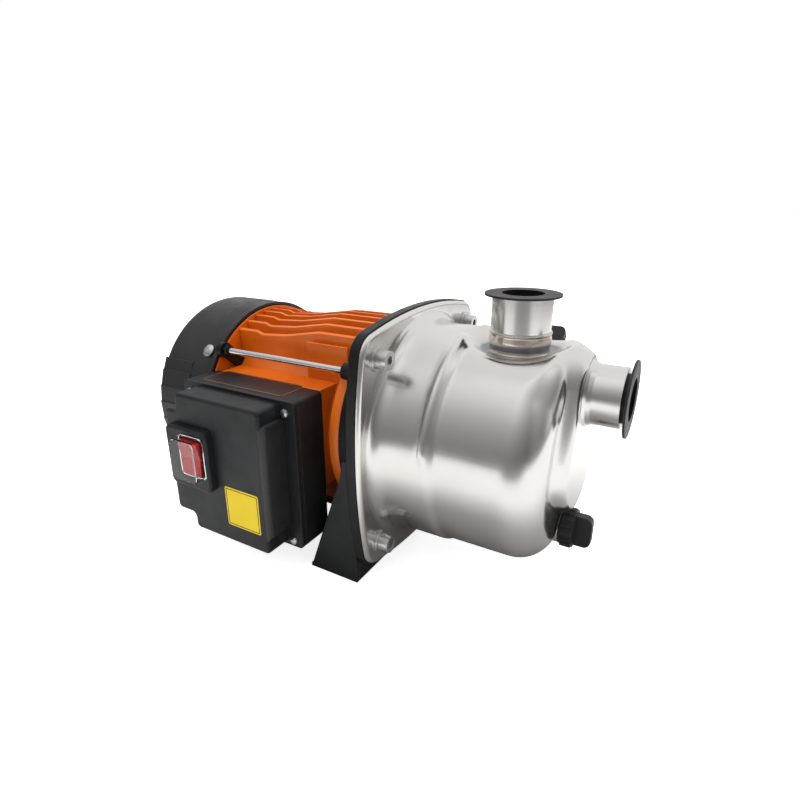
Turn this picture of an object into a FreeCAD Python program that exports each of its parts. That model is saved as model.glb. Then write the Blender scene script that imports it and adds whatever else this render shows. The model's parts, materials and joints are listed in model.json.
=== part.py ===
"""Self-priming jet pump for gardens: electric motor, steel casing and port fittings, in mm.

+X runs along the motor axis towards the pump head, -Y is the terminal box side, +Z is up.
The ground is z = 0. Rotating and casing parts are drawn about the motor axis and lifted by axis_high.
"""
import FreeCAD, Part
import math
import os
import Sketcher
from FreeCAD import Placement, Rotation, Vector

SIZES = {
    # Motor axis, ground and common clearances
    "axis_high": 102.0, "touch_gap": 0.05, "part_gap": 0.3, "run_gap": 0.05, "sheet_wall": 2.0,
    # Casing flange, a square with bulged sides, and its four bolts
    "bolt_clear": 17.0, "corner_radius": 17.5, "apex_beyond": 24.5, "flange_back": 12.0,
    "rim_back": 10.5, "rim_soft": 3.0, "bolt_radius": 4.0, "bolt_head": 6.5, "bolt_head_tall": 8.0,
    "washer_radius": 8.5, "washer_thick": 1.6, "nut_radius": 7.5, "nut_thick": 6.5,
    # Steel casing
    "belly_radius": 82.0, "step_reach": 41.0, "bead_high": 1.4, "bead_turn": 184.0,
    "shell_radius": 80.0, "shell_front": 129.0, "nose_radius": 24.0,
    "slab_front": 137.5, "slab_top_radius": 27.5, "slab_low_radius": 41.0,
    "slab_low_z": -1.0, "slab_soft": 4.0,
    # Ports, their thread and the transport caps
    "port_out_x": 87.0, "port_in_z": 47.0, "tube_outer": 20.6, "thread_radius": 15.15,
    "pilot_radius": 16.8, "pilot_deep": 9.0, "outlet_top": 108.0,
    "inlet_end": 160.5, "weld_flare": 3.0, "cap_radius": 26.0, "cap_thick": 1.5,
    "cap_skirt": 8.0, "cap_wall": 2.0, "cap_pulled": 3.0,
    # Screw plugs
    "plug_stem": 9.2, "plug_seat": 13.0, "plug_collar": 14.0, "collar_thick": 8.5,
    "grip_tall": 12.0, "grip_half": 12.0, "grip_thick": 7.0, "drain_z": -58.0,
    "filler_x": 90.0, "filler_turn": 45.0, "tooth_count": 18.0,
    # Front bracket and foot
    "bracket_back": 3.0, "bracket_front": 10.4, "bell_radius": 75.0, "bell_back": -25.0,
    "bell_wall": 6.0, "rod_y": 61.3, "rod_z": 54.5, "rod_radius": 2.5, "rod_boss": 6.25,
    "boss_back": -19.0, "bracket_beyond": 1.0, "bracket_soft": 1.5, "web_thick": 8.0, "hub_wall": 5.0,
    "front_bearing": -18.2, "plate_radius": 84.0,
    "foot_half": 85.4, "foot_sheet": 3.0, "foot_long": 43.0, "foot_front": 2.9,
    "foot_hole": 4.5, "foot_hole_reach": 65.0, "foot_hole_x": -22.0,
    "support_x": -140.0, "support_long": 18.0, "support_half": 40.0,
    # Motor
    "housing_back": -141.5, "housing_front": -25.3, "bore_radius": 55.0, "housing_wall": 5.0,
    "fin_pitch": 10.0, "fin_thick": 2.0, "fin_count": 9.0, "fin_low": 78.8, "fin_dip": 77.0, "fin_high": 84.0,
    "pad_top": 38.5, "pad_low": -40.0,
    "pad_face": -68.0, "stack_back": -115.0, "stack_front": -45.0, "rotor_radius": 29.0,
    "air_gap": 0.5, "slot_count": 12.0, "bearing_outer": 17.5, "bearing_inner": 7.5,
    "bearing_split": 12.0, "bearing_wide": 11.0, "shaft_radius": 7.5, "fan_bore": 6.0,
    "fan_radius": 72.0, "fan_blades": 7.0, "cover_lip": -142.7, "cover_end": -205.0,
    "cover_radius": 84.0, "cover_wall": 2.0, "cover_bend": 13.0, "screw_seat": 83.6,
    # Terminal box
    "box_left": -146.3, "box_right": -36.0, "box_low": -78.0, "box_top": 38.5,
    "box_mid": -94.0, "box_wall": 2.5, "lid_face": -119.7, "lid_right": -50.0,
    "switch_left": -140.0, "switch_right": -97.0, "switch_low": -36.0, "switch_top": 12.5,
    "switch_face": -126.0, "boot_x": -113.0, "boot_z": -9.0, "boot_wide": 26.0,
    "boot_tall": 33.0, "boot_deep": 9.0, "boot_wall": 1.2, "rocker_wide": 19.0,
    "rocker_tall": 26.0, "pivot_radius": 1.5, "lid_rim": 4.5, "gland_y": -84.0, "gland_z": -58.0,
    "notch_wide": 13.0, "notch_tall": 14.0, "capacitor_radius": 15.0, "capacitor_long": 66.0,
    # Hydraulics
    "impeller_radius": 60.0, "impeller_x": 30.0, "vane_count": 7.0,
    "diffuser_radius": 71.0, "venturi_throat": 6.5,
}

doc = FreeCAD.newDocument("garden_pump")
sheet = doc.addObject("Spreadsheet::Sheet", "P")
for row, (word, number) in enumerate(SIZES.items(), 1):
    sheet.set(f"A{row}", word)
    sheet.set(f"B{row}", str(number))
    sheet.setAlias(f"B{row}", word)
doc.recompute()


class Size:
    """A length with the sheet expression it comes from."""

    def __init__(self, text, number):
        self.text = text
        self.number = number

    def __add__(self, other):
        other = as_size(other)
        return Size(f"({self.text} + {other.text})", self.number + other.number)

    def __sub__(self, other):
        other = as_size(other)
        return Size(f"({self.text} - {other.text})", self.number - other.number)

    def __mul__(self, other):
        other = as_size(other)
        return Size(f"({self.text} * {other.text})", self.number * other.number)

    def __truediv__(self, other):
        other = as_size(other)
        return Size(f"({self.text} / {other.text})", self.number / other.number)

    def __neg__(self):
        return self * -1

    def __radd__(self, other):
        return as_size(other) + self

    def __rsub__(self, other):
        return as_size(other) - self

    def __rmul__(self, other):
        return as_size(other) * self


def as_size(thing):
    """Wrap a plain number."""
    if isinstance(thing, Size):
        return thing
    return Size(f"({thing})", float(thing))


def num(thing):
    """The plain number behind a size."""
    return thing.number if isinstance(thing, Size) else float(thing)


class Named:
    """Sheet sizes as attributes."""


S = Named()
for word, number in SIZES.items():
    setattr(S, word, Size(f"P.{word}", number))
S.bolt_reach = (S.belly_radius + S.bolt_clear) * 0.70711
S.flange_apex = S.bolt_reach + S.apex_beyond


def bind(obj, path, thing):
    """Drive one property from the sheet."""
    if isinstance(thing, Size):
        obj.setExpression(path, thing.text)


def put(obj, name, thing):
    """Set a number property and drive it from the sheet."""
    setattr(obj, name, num(thing))
    bind(obj, name, thing)


def place(obj, at=(0, 0, 0), turn=None):
    """Stand an object at a point; turn is an axis and an angle."""
    rotation = Rotation(Vector(*turn[0]), turn[1]) if turn else Rotation()
    obj.Placement = Placement(Vector(*(num(v) for v in at)), rotation)
    for letter, thing in zip("xyz", at):
        bind(obj, f"Placement.Base.{letter}", thing)
    return obj


ON_AXIS = (0, 0, S.axis_high)


def new_body(node, at=ON_AXIS, turn=None):
    body = doc.addObject("PartDesign::Body", node)
    body.Label = node
    return place(body, at, turn)


def origin_part(body, role):
    return [item for item in body.Origin.OriginFeatures if item.Role == role][0]


def flat_sketch(body, axis, offset):
    """A sketch square to an axis, moved along its own normal."""
    plane = {"X": "YZ_Plane", "Y": "XZ_Plane", "Z": "XY_Plane"}[axis]
    sketch = body.newObject("Sketcher::SketchObject", "Sketch")
    sketch.AttachmentSupport = [(origin_part(body, plane), "")]
    sketch.MapMode = "FlatFace"
    if num(offset) or isinstance(offset, Size):
        sketch.AttachmentOffset = Placement(Vector(0, 0, num(offset)), Rotation())
        bind(sketch, "AttachmentOffset.Base.z", offset)
    return sketch


def pin_point(sketch, curve, end, point):
    """Hold a sketch point at its two distances from the origin."""
    for kind, axis_line, thing in (("DistanceX", -2, point[0]), ("DistanceY", -1, point[1])):
        if not isinstance(thing, Size) and thing == 0:
            sketch.addConstraint(Sketcher.Constraint("PointOnObject", curve, end, axis_line))
            continue
        rule = Sketcher.Constraint(kind, -1, 1, curve, end, num(thing))
        index = sketch.addConstraint(rule)
        bind(sketch, f"Constraints[{index}]", thing)


def add_circle(sketch, centre, radius):
    circle = Part.Circle(Vector(num(centre[0]), num(centre[1]), 0), Vector(0, 0, 1), num(radius))
    curve = sketch.addGeometry(circle)
    index = sketch.addConstraint(Sketcher.Constraint("Radius", curve, num(radius)))
    bind(sketch, f"Constraints[{index}]", radius)
    pin_point(sketch, curve, 3, centre)


def add_path(sketch, steps):
    """Closed outline. Each step is a start point and None for a line, or an arc's radius, centre and turn."""
    spans = []
    for index, (start, arc) in enumerate(steps):
        stop = steps[(index + 1) % len(steps)][0]
        a = Vector(num(start[0]), num(start[1]), 0)
        b = Vector(num(stop[0]), num(stop[1]), 0)
        if arc is None:
            curve = sketch.addGeometry(Part.LineSegment(a, b))
            spans.append((curve, 1, 2, start))
            continue
        radius, centre, left = arc
        middle = Vector(centre[0], centre[1], 0)
        low = math.atan2(a.y - middle.y, a.x - middle.x)
        high = math.atan2(b.y - middle.y, b.x - middle.x)
        if not left:
            low, high = high, low
        if high < low:
            high += 2 * math.pi
        circle = Part.Circle(middle, Vector(0, 0, 1), num(radius))
        curve = sketch.addGeometry(Part.ArcOfCircle(circle, low, high))
        spans.append((curve, 1, 2, start) if left else (curve, 2, 1, start))
        rule = sketch.addConstraint(Sketcher.Constraint("Radius", curve, num(radius)))
        bind(sketch, f"Constraints[{rule}]", radius)
    for index, (curve, begin, finish, start) in enumerate(spans):
        after = spans[(index + 1) % len(spans)]
        sketch.addConstraint(Sketcher.Constraint("Coincident", curve, finish, after[0], after[1]))
        pin_point(sketch, curve, begin, start)


def sign(number):
    return (number > 1e-9) - (number < -1e-9)


def rounded(points):
    """Turn corner points, some with a third value as rounding, into path steps."""
    steps = []
    count = len(points)
    for index, point in enumerate(points):
        if len(point) == 2:
            steps.append((point, None))
            continue
        x, y, radius = point
        before, after = points[index - 1], points[(index + 1) % count]
        into = (sign(num(x) - num(before[0])), sign(num(y) - num(before[1])))
        away = (sign(num(after[0]) - num(x)), sign(num(after[1]) - num(y)))
        begin = (x - radius * into[0], y - radius * into[1])
        end = (x + radius * away[0], y + radius * away[1])
        centre = (num(begin[0]) + away[0] * num(radius), num(begin[1]) + away[1] * num(radius))
        left = into[0] * away[1] - into[1] * away[0] > 0
        steps.append((begin, (radius, centre, left)))
        steps.append((end, None))
    return steps


def rectangle(low, high, radius=None):
    """Corner points of a rectangle in a sketch."""
    corners = [(low[0], low[1]), (high[0], low[1]), (high[0], high[1]), (low[0], high[1])]
    if radius is None:
        return corners
    return [(as_size(x), as_size(y), as_size(radius)) for x, y in corners]


def draw(sketch, loops):
    """Fill a sketch: ("circle", centre, radius), ("steps", path) or a list of corner points."""
    for loop in loops:
        if loop[0] == "circle":
            add_circle(sketch, loop[1], loop[2])
        elif loop[0] == "steps":
            add_path(sketch, loop[1])
        else:
            add_path(sketch, rounded(loop))


def extrude(body, kind, axis, loops, start, length):
    """Pad or pocket between start and start + length along an axis."""
    far = as_size(start) + length
    forward = (kind == "Pad") == (axis != "Y")
    offset = start if forward else far
    if axis == "Y":
        offset = -as_size(far) if kind == "Pad" else -as_size(start)
    sketch = flat_sketch(body, axis, offset)
    draw(sketch, loops)
    feature = body.newObject(f"PartDesign::{kind}", kind)
    feature.Profile = sketch
    put(feature, "Length", length)
    body.Tip = feature
    return feature


def pad(body, axis, loops, start, length):
    return extrude(body, "Pad", axis, loops, start, length)


def pocket(body, axis, loops, start, length):
    return extrude(body, "Pocket", axis, loops, start, length)


def spin(body, kind, axis, points):
    """Revolve corner points (along, radius) about a body axis X or Z."""
    sketch = flat_sketch(body, "Y", 0)
    if axis == "Z":
        points = [(p[1], p[0]) + tuple(p[2:]) for p in points]
    draw(sketch, [points])
    feature = body.newObject(f"PartDesign::{kind}", kind)
    feature.Profile = sketch
    feature.ReferenceAxis = (sketch, ["H_Axis" if axis == "X" else "V_Axis"])
    feature.Angle = 360
    body.Tip = feature
    return feature


def turned(node, axis, points, at=ON_AXIS, turn=None):
    body = new_body(node, at, turn)
    spin(body, "Revolution", axis, points)
    return body


def ring(node, x0, x1, inner, outer, at=ON_AXIS):
    """A plain ring or disc about the X axis."""
    return turned(node, "X", [(x0, inner), (x1, inner), (x1, outer), (x0, outer)], at)


def round_pattern(body, feature, count, axis="X"):
    pattern = body.newObject("PartDesign::PolarPattern", "PolarPattern")
    pattern.Originals = [feature]
    pattern.Axis = (origin_part(body, f"{axis}_Axis"), [""])
    pattern.Angle = 360
    pattern.Occurrences = int(num(count))
    bind(pattern, "Occurrences", count)
    body.Tip = pattern
    return pattern


def row_pattern(body, feature, axis, length, count):
    pattern = body.newObject("PartDesign::LinearPattern", "LinearPattern")
    pattern.Originals = [feature]
    pattern.Direction = (origin_part(body, f"{axis}_Axis"), [""])
    put(pattern, "Length", length)
    pattern.Occurrences = int(num(count))
    bind(pattern, "Occurrences", count)
    body.Tip = pattern
    return pattern


def soften(body, radius, wanted):
    """Fillet the edges of the tip whose middle point passes a test."""
    doc.recompute()
    tip = body.Tip
    names = []
    for index, edge in enumerate(tip.Shape.Edges, 1):
        middle = edge.valueAt((edge.FirstParameter + edge.LastParameter) / 2)
        if wanted(edge, middle):
            names.append(f"Edge{index}")
    fillet = body.newObject("PartDesign::Fillet", "Fillet")
    fillet.Base = (tip, names)
    put(fillet, "Radius", radius)
    body.Tip = fillet
    return fillet


def box(low, size, at=ON_AXIS):
    """A plain block from its low corner."""
    block = doc.addObject("Part::Box", "Block")
    for name, thing in zip(("Length", "Width", "Height"), size):
        put(block, name, thing)
    return place(block, [as_size(a) + b for a, b in zip(low, at)])


def rod(start, length, radius, axis="X", at=ON_AXIS):
    """A plain cylinder from the centre of its low end."""
    turn = {"X": ((0, 1, 0), 90), "Y": ((1, 0, 0), -90), "Z": None}[axis]
    item = doc.addObject("Part::Cylinder", "Round")
    put(item, "Radius", radius)
    put(item, "Height", length)
    return place(item, [as_size(a) + b for a, b in zip(start, at)], turn)


def hexagon(start, length, radius):
    """A hexagonal prism along X; radius is to its corners."""
    item = doc.addObject("Part::Prism", "Hexagon")
    item.Polygon = 6
    put(item, "Circumradius", radius)
    put(item, "Height", length)
    return place(item, [as_size(a) + b for a, b in zip(start, ON_AXIS)], ((0, 1, 0), 90))


def fuse(node, parts):
    item = doc.addObject("Part::MultiFuse", node)
    item.Label = node
    item.Shapes = parts
    return item


def group(node, parts):
    """Separate solids handled as one piece."""
    item = doc.addObject("Part::Compound", node)
    item.Label = node
    item.Links = parts
    return item


def cut(node, base, tool):
    item = doc.addObject("Part::Cut", node)
    item.Label = node
    item.Base = base
    item.Tool = tool
    return item


def common(node, parts):
    item = doc.addObject("Part::MultiCommon", node)
    item.Label = node
    item.Shapes = parts
    return item


CORNERS = [(1, 1), (-1, 1), (-1, -1), (1, -1)]


def root(thing):
    return Size(f"sqrt({thing.text})", math.sqrt(thing.number))


def bulged_square(grow):
    """Outline of the flange and bracket: four rounded corners joined by four flat arcs."""
    h = S.bolt_reach
    r = S.corner_radius + grow
    apex = S.flange_apex + grow
    q = apex - r
    d = (h * h * 2 - q * q) / ((q - h) * 2)
    side = apex + d
    far = (h + d) * side / (side - r) - d
    near = h * side / (side - r)
    steps = []
    for turn in range(4):
        along = [(1, 0), (0, 1), (-1, 0), (0, -1)][turn]
        across = [(0, 1), (-1, 0), (0, -1), (1, 0)][turn]
        corner = (num(h) * (along[0] + across[0]), num(h) * (along[1] + across[1]))
        middle = (-num(d) * across[0], -num(d) * across[1])
        start = (far * along[0] + near * across[0], far * along[1] + near * across[1])
        stop = (near * along[0] + far * across[0], near * along[1] + far * across[1])
        steps.append((start, (r, corner, True)))
        steps.append((stop, (side, middle, True)))
    return ("steps", steps)


def slab_outline(grow):
    """Two circles of the raised front, round the inlet and below it, joined by their tangents."""
    top, low = S.slab_top_radius + grow, S.slab_low_radius + grow
    rise = (low - top) / (S.port_in_z - S.slab_low_z)
    run = root(1 - rise * rise)
    near_top = (top * run, S.port_in_z + top * rise)
    near_low = (low * run, S.slab_low_z + low * rise)
    return ("steps", [
        (near_low, None), (near_top, (top, (0, num(S.port_in_z)), True)),
        ((-near_top[0], near_top[1]), None),
        ((-near_low[0], near_low[1]), (low, (0, num(S.slab_low_z)), True))])


def make_casing():
    """Pressed steel casing with its bolt flange, rear lip and raised front slab."""
    wall = S.sheet_wall
    back = S.flange_back
    body = new_body("casing_shell")
    spin(body, "Revolution", "X", [
        (back, 0), (S.shell_front, 0), (S.shell_front, S.shell_radius, S.nose_radius),
        (back + S.step_reach + 3, S.shell_radius), (back + S.step_reach, S.belly_radius),
        (back + 9, S.belly_radius),
        (back + 3.5, S.belly_radius + 6), (back, S.belly_radius + 6)])
    bead = spin(body, "Revolution", "X", [
        (back + S.step_reach - 7, S.belly_radius - 1), (back + S.step_reach - 7, S.belly_radius),
        (back + S.step_reach - 5, S.belly_radius + S.bead_high),
        (back + S.step_reach - 2, S.belly_radius + S.bead_high), (back + S.step_reach, S.belly_radius),
        (back + S.step_reach, S.belly_radius - 1)])
    put(bead, "Angle", S.bead_turn)
    bead.Midplane = True
    pad(body, "X", [slab_outline(0)], S.slab_front - 40, 40)
    soften(body, S.slab_soft, lambda edge, mid: abs(mid.x - num(S.slab_front)) < 0.01)
    face = back + wall
    pad(body, "X", [bulged_square(0)], S.rim_back, face - S.rim_back)
    rim = num(S.flange_apex) - 1
    soften(body, S.rim_soft,
           lambda edge, mid: abs(mid.x - num(face)) < 0.01 and math.hypot(mid.y, mid.z) > rim)
    spin(body, "Groove", "X", [
        (back - 8, 0), (S.shell_front - wall, 0),
        (S.shell_front - wall, S.shell_radius - wall, S.nose_radius - wall),
        (back + S.step_reach + 3, S.shell_radius - wall), (back + S.step_reach, S.belly_radius - wall),
        (back - 8, S.belly_radius - wall)])
    pocket(body, "X", [slab_outline(-wall)], S.slab_front - 45, 45 - wall)
    pocket(body, "X", [bulged_square(-wall)], S.rim_back - 1, back - S.rim_back + 1)
    holes = [("circle", (S.bolt_reach * y, S.bolt_reach * z), S.bolt_radius + 0.4) for y, z in CORNERS]
    pocket(body, "X", holes, back - 1, wall + 2)
    tools = [rod((S.port_out_x, 0, 55), 40, S.thread_radius + 1, "Z"),
             rod((S.slab_front - 12, 0, S.port_in_z), 20, S.thread_radius + 1),
             rod((S.shell_front - 8, 0, S.drain_z), 16, S.plug_seat + S.touch_gap)]
    filler = doc.addObject("Part::Cylinder", "Round")
    put(filler, "Radius", S.plug_seat + S.touch_gap)
    filler.Height = 95
    place(filler, (S.filler_x, 0, S.axis_high), ((1, 0, 0), -num(S.filler_turn)))
    filler.setExpression("Placement.Rotation.Angle", "P.filler_turn")
    filler.setExpression("Placement.Rotation.Axis.x", "-1")
    tools.append(filler)
    return cut("pump_casing", body, fuse("casing_holes", tools))


def port_tube(node, at, turn, seat, end, inward):
    """Welded port socket about its local Z: pilot, thread wall, weld flare and inward collar."""
    low = seat - inward
    return turned(node, "Z", [
        (seat, S.thread_radius + 0.9), (low, S.thread_radius + 0.9), (low, S.thread_radius),
        (end - S.pilot_deep, S.thread_radius), (end - S.pilot_deep, S.pilot_radius),
        (end, S.pilot_radius), (end, S.tube_outer), (seat + 5, S.tube_outer),
        (seat + 2, S.tube_outer + 1), (seat, S.tube_outer + S.weld_flare)], at, turn)


def cap(node, at, turn):
    """Rubber transport cap about its local Z, its disc resting at z = 0."""
    skirt = S.pilot_radius - S.part_gap
    return turned(node, "Z", [
        (-S.cap_skirt, skirt - S.cap_wall), (S.cap_thick, skirt - S.cap_wall), (S.cap_thick, S.cap_radius),
        (0, S.cap_radius), (0, skirt), (-S.cap_skirt, skirt)], at, turn)


def make_ports():
    saddle = rod((0, 0, 0), 150, S.shell_radius + S.touch_gap)
    blank = port_tube("outlet_blank", (S.port_out_x, 0, S.axis_high), None, as_size(74), S.outlet_top, 2)
    cut("outlet_socket", blank, saddle)
    inlet_at = (0, 0, S.axis_high + S.port_in_z)
    facing = ((0, 1, 0), 90)
    port_tube("inlet_socket", inlet_at, facing, S.slab_front + S.touch_gap, S.inlet_end, 8)
    cap("outlet_cap", (S.port_out_x, 0, S.axis_high + S.outlet_top + S.part_gap), None)
    cap("inlet_cap", (S.inlet_end + S.cap_pulled, 0, S.axis_high + S.port_in_z), facing)


def plug_boss(node, at, turn, face):
    """Threaded seat about local Z; face is the height of the casing wall outside."""
    seat = S.plug_stem + 0.1
    return turned(node, "Z", [
        (face - 11, seat), (face + 0.3, seat), (face + 0.3, S.plug_seat), (face - 11, S.plug_seat)], at, turn)


def plug(node, at, turn, face):
    """Screw plug about local Z with a ribbed collar and a paddle grip."""
    body = new_body(node, at, turn)
    low = face + 0.3 + S.part_gap
    top = low + 1.2
    spin(body, "Revolution", "Z", [
        (face - 12, 0), (face - 12, S.plug_stem), (low, S.plug_stem), (low, S.plug_stem + 1),
        (top, S.plug_stem + 1), (top, S.plug_collar), (top + S.collar_thick, S.plug_collar),
        (top + S.collar_thick, 0)])
    outline = [(-S.grip_half, top), (S.grip_half, top),
               (S.grip_half, top + S.grip_tall + S.collar_thick, as_size(5)),
               (-S.grip_half, top + S.grip_tall + S.collar_thick, as_size(5))]
    pad(body, "Y", [outline], -S.grip_thick / 2, S.grip_thick)
    tooth = [(S.plug_collar - 1, -0.7), (S.plug_collar + 0.8, -0.45), (S.plug_collar + 0.8, 0.45),
             (S.plug_collar - 1, 0.7)]
    first = pad(body, "Z", [tooth], top, S.collar_thick - 1)
    round_pattern(body, first, S.tooth_count, "Z")
    return body


def plug_seal(node, at, turn, face):
    low = face + 0.3 + S.part_gap
    inner = S.plug_stem + 1 + S.part_gap
    return turned(node, "Z", [
        (low, inner), (low + 0.9, inner),
        (low + 0.9, S.plug_collar - 0.8), (low, S.plug_collar - 0.8)], at, turn)


def make_plugs():
    drain_at = (0, 0, S.axis_high + S.drain_z)
    facing = ((0, 1, 0), 90)
    filler_at = (S.filler_x, 0, S.axis_high)
    leaning = ((1, 0, 0), -num(S.filler_turn))
    for prefix, at, turn, face in (("drain", drain_at, facing, S.shell_front),
                                   ("filler", filler_at, leaning, S.shell_radius + 0.5)):
        made = [plug_boss(f"{prefix}_boss", at, turn, face), plug(f"{prefix}_plug", at, turn, face),
                plug_seal(f"{prefix}_seal", at, turn, face)]
        if prefix == "filler":
            for item in made:
                item.setExpression("Placement.Rotation.Angle", "P.filler_turn")
                item.setExpression("Placement.Rotation.Axis.x", "-1")


def make_bolts():
    """Socket screws, washers and nuts at the four flange corners."""
    screws, washers, nuts = [], [], []
    face = S.flange_back + S.sheet_wall
    for y, z in CORNERS:
        at_y, at_z = S.bolt_reach * y, S.bolt_reach * z
        back = S.bracket_back if z > 0 else S.foot_front - S.foot_sheet - S.touch_gap
        nuts_back = back - S.nut_thick
        head = face + S.washer_thick
        shank = rod((nuts_back - 1.5, at_y, at_z), head - nuts_back + 1.5, S.bolt_radius)
        top = rod((head, at_y, at_z), S.bolt_head_tall, S.bolt_head)
        socket = hexagon((head + 3.5, at_y, at_z), 6, 3.4)
        screws.append(cut("screw", fuse("screw_blank", [shank, top]), socket))
        disc = rod((face, at_y, at_z), S.washer_thick, S.washer_radius)
        washers.append(cut("washer", disc, rod((face - 1, at_y, at_z), 5, S.bolt_radius + 0.3)))
        block = hexagon((nuts_back, at_y, at_z), S.nut_thick, S.nut_radius)
        nuts.append(cut("nut", block, rod((nuts_back - 1, at_y, at_z), 9, S.bolt_radius + S.touch_gap)))
    group("casing_screws", screws)
    group("casing_washers", washers)
    group("casing_nuts", nuts)


def make_bracket():
    """Cast front bracket: bulged plate, bell ring, bearing hub and tie rod bosses."""
    body = new_body("front_bracket")
    back, front = S.bracket_back, S.bracket_front
    thick = front - back
    pad(body, "X", [bulged_square(S.bracket_beyond)], back, thick)
    soften(body, S.bracket_soft, lambda edge, mid: abs(mid.x - num(back)) < 0.01)
    pad(body, "X", [("circle", (0, 0), S.bell_radius)], S.bell_back, back - S.bell_back + 1)
    inner = S.bell_radius - S.bell_wall
    pad_web = back - S.web_thick
    hub = S.bearing_outer + S.touch_gap
    spin(body, "Groove", "X", [
        (S.bell_back - 1, hub + S.hub_wall), (S.bell_back - 1, inner),
        (pad_web, inner), (pad_web, hub + S.hub_wall)])
    spin(body, "Groove", "X", [
        (S.bell_back - 1, 0), (S.bell_back - 1, hub), (S.front_bearing + S.bearing_wide + 0.2, hub),
        (S.front_bearing + S.bearing_wide + 0.2, 13), (front + 1, 13), (front + 1, 0)])
    recess = S.flange_back - 4
    pocket(body, "X", [("circle", (0, 0), S.plate_radius + S.part_gap)], recess, front - recess + 1)
    bosses = [("circle", (S.rod_y * y, S.rod_z * z), S.rod_boss) for y, z in CORNERS]
    pad(body, "X", bosses, S.boss_back, back - S.boss_back + 1)
    rods = [("circle", (S.rod_y * y, S.rod_z * z), S.rod_radius + S.touch_gap) for y, z in CORNERS]
    pocket(body, "X", rods, S.boss_back - 1, 14)
    bolts = [("circle", (S.bolt_reach * y, S.bolt_reach * z), S.bolt_radius + 0.4) for y, z in CORNERS]
    pocket(body, "X", bolts, back - 1, thick + 2)


def make_foot():
    """Bent foot stand behind the bracket plate."""
    half, sheet, low = S.foot_half, S.foot_sheet, -S.axis_high
    body = new_body("foot_blank")
    wall = [(-half, low), (half, low), (half, -4), (-half, -4)]
    pad(body, "X", [wall], S.foot_front - sheet, sheet)
    pad(body, "Z", [[(S.foot_front - S.foot_long, -half), (S.foot_front, -half), (S.foot_front, half),
                     (S.foot_front - S.foot_long, half)]], low, sheet)
    front = S.foot_front
    side = [(front, low), (front - S.foot_long, low), (front - 34, low + 25), (front - 19.5, -37),
            (front - 12.5, -19), (front - 10, -4), (front, -4)]
    pad(body, "Y", [side], half - sheet, sheet)
    pad(body, "Y", [side], -half, sheet)
    holes = [("circle", (S.foot_hole_x, S.foot_hole_reach * y), S.foot_hole) for y in (1, -1)]
    pocket(body, "Z", holes, low - 1, 6)
    bolts = [("circle", (S.bolt_reach * y, -S.bolt_reach), S.bolt_radius + 0.4) for y in (1, -1)]
    pocket(body, "X", bolts, S.foot_front - sheet - 1, 6)
    bosses = [("circle", (S.rod_y * y, -S.rod_z), S.rod_boss + S.part_gap) for y in (1, -1)]
    pocket(body, "X", bosses, S.foot_front - sheet - 1, 6)
    cut("foot_stand", body, rod((-30, 0, 0), 40, S.bell_radius + S.part_gap))


def make_support():
    """Saddle under the rear of the motor."""
    low = -S.axis_high
    outer = box((S.support_x, -S.support_half, low), (S.support_long, S.support_half * 2, 45))
    saddle = rod((S.support_x - 1, 0, 0), S.support_long + 2, S.fin_low + S.touch_gap)
    cut("rear_support", outer, saddle)


def make_housing():
    """Die-cast finned housing: fins trimmed by a turned envelope, tube, side pad and bore."""
    back, front = S.housing_back, S.housing_front
    comb = new_body("fin_comb")
    reach = S.fin_pitch * 4
    half = S.fin_thick / 2
    first = pad(comb, "Y", [rectangle((back, -90), (front + 6, 90))], -reach - half, S.fin_thick)
    row_pattern(comb, first, "Y", reach * 2, S.fin_count)
    side = new_body("side_comb")
    low = S.fin_pitch * -3
    first = pad(side, "Z", [rectangle((back, 40), (front + 6, 90))], low - half, S.fin_thick)
    row_pattern(side, first, "Z", S.fin_pitch * 6, 7)
    end = front + 6
    envelope = turned("fin_envelope", "X", [
        (back, 0), (end, 0), (end, S.fin_high), (-58, S.fin_high), (-90, S.fin_low), (-116, S.fin_dip),
        (-121.5, S.fin_low), (back, S.fin_low)])
    trimmed = common("fins_trimmed", [fuse("fins_all", [comb, side]), envelope])
    keep = cut("fins", trimmed, rod((front, 0, 0), 10, S.bell_radius + S.part_gap))
    tube = rod((back, 0, 0), front - back, S.bore_radius + S.housing_wall)
    flat = box((back + 4.5, S.pad_face, S.pad_low), (-37.5 - back - 4.5, 30, S.pad_top - S.pad_low))
    rib = box((-65, -47, 35), (38, 2, 32))
    solid = fuse("housing_solid", [keep, tube, flat, rib])
    bore = rod((back - 1, 0, 0), front - back + 12, S.bore_radius)
    trim = rod((front, 0, 0), 10, S.bore_radius + 6)
    cut("motor_housing", solid, fuse("housing_bore", [bore, trim]))


def make_stator():
    body = new_body("stator_core")
    gap = S.touch_gap
    length = S.stack_front - S.stack_back
    pad(body, "X", [("circle", (0, 0), S.bore_radius - gap)], S.stack_back, length)
    pocket(body, "X", [("circle", (0, 0), S.rotor_radius + S.air_gap)], S.stack_back - 1, length + 2)
    slot = [(-4, 31.5), (4, 31.5), (5, 43), (-5, 43)]
    first = pocket(body, "X", [slot], S.stack_back - 1, length + 2)
    round_pattern(body, first, S.slot_count)
    coils = new_body("stator_windings")
    for start, long in ((S.stack_front + 0.2, 14), (S.stack_back - 18.2, 18)):
        pad(coils, "X", [("circle", (0, 0), 48), ("circle", (0, 0), 33)], start, long)
        if num(start) > -60:
            bar = [(-3.5, 33.4), (3.5, 33.4), (4.5, 42.7), (-4.5, 42.7)]
            first = pad(coils, "X", [bar], S.stack_back - 1, length + 2)
            round_pattern(coils, first, S.slot_count)


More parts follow.
